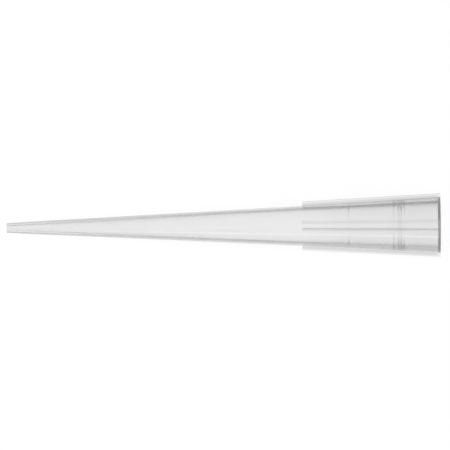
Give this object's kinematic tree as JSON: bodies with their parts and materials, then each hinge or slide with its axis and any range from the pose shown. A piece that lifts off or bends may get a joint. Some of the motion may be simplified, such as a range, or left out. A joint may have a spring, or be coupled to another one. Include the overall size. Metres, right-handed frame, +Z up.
{
  "type": "pipette tip",
  "caption": "Clear plastic tip for a hand-held air-displacement pipette: long hollow cone with a ribbed hub, a conical nozzle socket with sealing rings, and a fine orifice.",
  "frame": {"origin": "on the surface the tip lies on, under the middle of its box", "axes": "+X from the orifice towards the mouth, +Z up; the tip's own axis rises 3.05 degrees from +X towards the mouth, because the tip lies on its cone's side"},
  "size_m": [0.0512, 0.0066, 0.0066],
  "materials": {
    "clear_polypropylene": "natural clear polypropylene, as moulded, slightly hazy"
  },
  "bodies": {
    "root": {"pipette_tip": "clear_polypropylene"}
  },
  "joints": []
}
